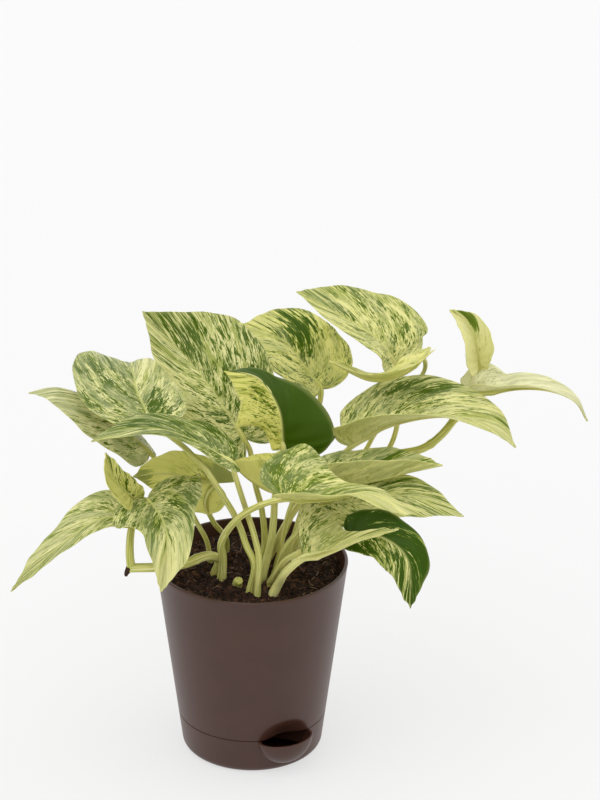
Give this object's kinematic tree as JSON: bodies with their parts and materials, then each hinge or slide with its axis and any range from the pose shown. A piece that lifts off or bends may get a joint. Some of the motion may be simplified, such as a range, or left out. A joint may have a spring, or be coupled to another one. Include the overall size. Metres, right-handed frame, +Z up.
{
  "type": "potted pothos plant",
  "caption": "Trailing houseplant with marbled heart-shaped leaves in a tapered self-watering plastic pot with a saucer reservoir and a watering lip.",
  "frame": {"origin": "middle of the saucer's flat underside, on the surface the pot stands on", "axes": "+Z up along the pot's axis, +X towards the right-hand vine, along the plant's widest spread, -Y towards the viewer and, turned 28 degrees to +X, the watering lip"},
  "size_m": [0.369, 0.1743, 0.296],
  "materials": {
    "pot_plastic": "satin",
    "soil": "matte",
    "leaf": "satin",
    "stem": "satin"
  },
  "bodies": {
    "root": {"saucer": "pot_plastic", "pot": "pot_plastic", "soil": "soil", "cut_stub": "stem", "left_vine": "leaf", "right_vine": "leaf", "leaf_left_back": "leaf", "leaf_left_under": "leaf", "leaf_left_long": "leaf", "leaf_left_shade": "leaf", "leaf_top_left": "leaf", "leaf_top_centre": "leaf", "leaf_centre_glossy": "leaf", "leaf_top_right": "leaf", "leaf_right_young": "leaf", "leaf_right_large": "leaf", "leaf_front_centre": "leaf", "leaf_right_folded": "leaf", "leaf_right_low": "leaf", "leaf_right_dark": "leaf", "leaf_front_curled": "leaf", "leaf_centre_folded": "leaf"}
  },
  "joints": []
}
